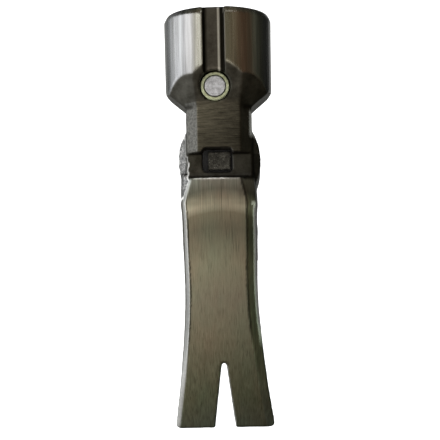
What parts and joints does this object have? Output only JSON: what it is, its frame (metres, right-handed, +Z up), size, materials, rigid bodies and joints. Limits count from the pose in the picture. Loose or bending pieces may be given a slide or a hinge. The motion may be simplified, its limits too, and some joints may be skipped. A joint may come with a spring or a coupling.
{
  "type": "tack hammer",
  "caption": "Claw hammer for tacks and small nails: grooved magnetic nail starter on a round poll, straight-swept claw, oval tubular handle, two-part grip with hanging eyelet.",
  "frame": {"origin": "centre of the hanging hole in the butt, on the handle's axis", "axes": "+Z up the handle towards the head, +Y towards the striking face, +X across the head along the hanging hole"},
  "size_m": [0.03, 0.1157, 0.3249],
  "materials": {
    "head_steel": "forged, with ground poll and claw",
    "sleeve_brass": "turned",
    "magnet_nickel": "satin nickel plate",
    "bond_epoxy": "set adhesive",
    "wedge_steel": "rough, blackened",
    "plug_nylon": "moulded nylon",
    "tube_steel": "drawn and brushed",
    "collar_rubber": "ribbed",
    "core_nylon": "fine texture",
    "grip_rubber": "soft, fine texture",
    "eyelet_steel": "zinc plated"
  },
  "bodies": {
    "root": {"hammer_head": "head_steel", "magnet_sleeve": "sleeve_brass", "nail_magnet": "magnet_nickel", "magnet_bond": "bond_epoxy", "eye_wedge": "wedge_steel", "core_plug": "plug_nylon", "handle_tube": "tube_steel", "strike_collar": "collar_rubber", "grip_core": "core_nylon", "grip_cover": "grip_rubber", "butt_plug": "plug_nylon", "butt_pin": "eyelet_steel", "hang_eyelet": "eyelet_steel", "eyelet_washers": "eyelet_steel"}
  },
  "joints": []
}
